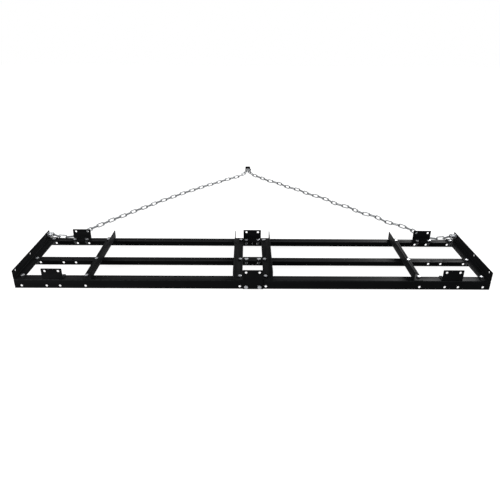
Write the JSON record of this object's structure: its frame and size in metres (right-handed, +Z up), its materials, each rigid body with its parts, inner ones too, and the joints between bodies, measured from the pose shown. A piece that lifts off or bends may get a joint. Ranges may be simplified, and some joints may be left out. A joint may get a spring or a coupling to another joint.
{
  "type": "drag harrow",
  "caption": "Rigid drag harrow frame of bolted steel angle, with free holes for tools and a long-link chain bridle that runs to a clevis for towing.",
  "frame": {"origin": "bottom centre of the outline of the whole harrow with its bridle laid out on the ground", "axes": "+Z up from the ground, +Y towards the towing vehicle, +X to the right as seen from behind the harrow"},
  "size_m": [2.1468, 1.8704, 0.0955],
  "materials": {
    "black_coat": "satin black powder coat",
    "zinc_fastener": "bright zinc plate",
    "zinc_chain": "zinc plate, slightly dull"
  },
  "bodies": {
    "frame": {"front_rail_left": "black_coat", "middle_rail_left": "black_coat", "rear_rail_left": "black_coat", "end_cross_angle_left": "black_coat", "inner_cross_angle_left": "black_coat", "centre_cross_angle_left": "black_coat", "front_bracket_left": "black_coat", "rear_bracket_left": "black_coat", "front_rail_right": "black_coat", "middle_rail_right": "black_coat", "rear_rail_right": "black_coat", "end_cross_angle_right": "black_coat", "inner_cross_angle_right": "black_coat", "centre_cross_angle_right": "black_coat", "front_bracket_right": "black_coat", "rear_bracket_right": "black_coat", "front_splice_plate": "black_coat", "middle_splice_plate": "black_coat", "rear_splice_bracket": "black_coat", "front_cross_bolts": "zinc_fastener", "front_cross_nuts": "zinc_fastener", "middle_cross_bolts": "zinc_fastener", "middle_cross_nuts": "zinc_fastener", "rear_cross_bolts": "zinc_fastener", "rear_cross_nuts": "zinc_fastener", "middle_splice_bolts": "zinc_fastener", "middle_splice_nuts": "zinc_fastener", "rear_splice_bolts": "zinc_fastener", "rear_splice_nuts": "zinc_fastener", "front_splice_bolts": "zinc_fastener", "front_splice_nuts": "zinc_fastener", "front_bracket_left_bolts": "zinc_fastener", "front_bracket_left_nuts": "zinc_fastener", "front_bracket_right_bolts": "zinc_fastener", "front_bracket_right_nuts": "zinc_fastener", "rear_bracket_left_bolts": "zinc_fastener", "rear_bracket_left_nuts": "zinc_fastener", "rear_bracket_right_bolts": "zinc_fastener", "rear_bracket_right_nuts": "zinc_fastener", "chain_eye_bolt_left": "zinc_fastener", "chain_eye_washer_left": "zinc_fastener", "chain_eye_nut_left": "zinc_fastener", "chain_eye_bolt_right": "zinc_fastener", "chain_eye_washer_right": "zinc_fastener", "chain_eye_nut_right": "zinc_fastener"},
    "chain_inner_left": {"chain_inner_left": "zinc_chain"},
    "chain_outer_left": {"chain_outer_left": "zinc_chain"},
    "chain_tail_left": {"chain_tail_left": "zinc_chain"},
    "chain_inner_right": {"chain_inner_right": "zinc_chain"},
    "chain_outer_right": {"chain_outer_right": "zinc_chain"},
    "chain_tail_right": {"chain_tail_right": "zinc_chain"},
    "hitch": {"hitch_clevis": "black_coat", "hitch_bolt": "zinc_fastener"}
  },
  "joints": [
    {"name": "bridle_lift_left", "type": "hinge", "parent": "frame", "child": "chain_inner_left", "pos_m": [-1.0575, -0.4998, 0.074], "axis": [1, 0, 0], "range_deg": [0, 90]},
    {"name": "mid_fold_left", "type": "hinge", "parent": "chain_inner_left", "child": "chain_outer_left", "pos_m": [-0.53271, 0.26353, 0.00936], "axis": [1, 0, 0], "range_deg": [0, 20]},
    {"name": "tail_fold_left", "type": "hinge", "parent": "chain_outer_left", "child": "chain_tail_left", "pos_m": [-0.09398, 0.74137, 0.00936], "axis": [1, 0, 0], "range_deg": [0, 20]},
    {"name": "bridle_lift_right", "type": "hinge", "parent": "frame", "child": "chain_inner_right", "pos_m": [1.0575, -0.4998, 0.074], "axis": [1, 0, 0], "range_deg": [0, 90]},
    {"name": "mid_fold_right", "type": "hinge", "parent": "chain_inner_right", "child": "chain_outer_right", "pos_m": [0.47711, 0.26353, 0.00936], "axis": [1, 0, 0], "range_deg": [0, 20]},
    {"name": "tail_fold_right", "type": "hinge", "parent": "chain_outer_right", "child": "chain_tail_right", "pos_m": [0.04292, 0.74137, 0.00936], "axis": [1, 0, 0], "range_deg": [0, 20]},
    {"name": "clevis_pivot", "type": "hinge", "parent": "chain_tail_left", "child": "hitch", "pos_m": [-0.025, 0.8932, 0.015], "axis": [1, 0, 0], "range_deg": [0, 110]}
  ],
  "couplings": [
    {"joint": "bridle_lift_right", "follows": "bridle_lift_left", "ratio": 1},
    {"joint": "mid_fold_right", "follows": "mid_fold_left", "ratio": 1},
    {"joint": "tail_fold_right", "follows": "tail_fold_left", "ratio": 1}
  ]
}
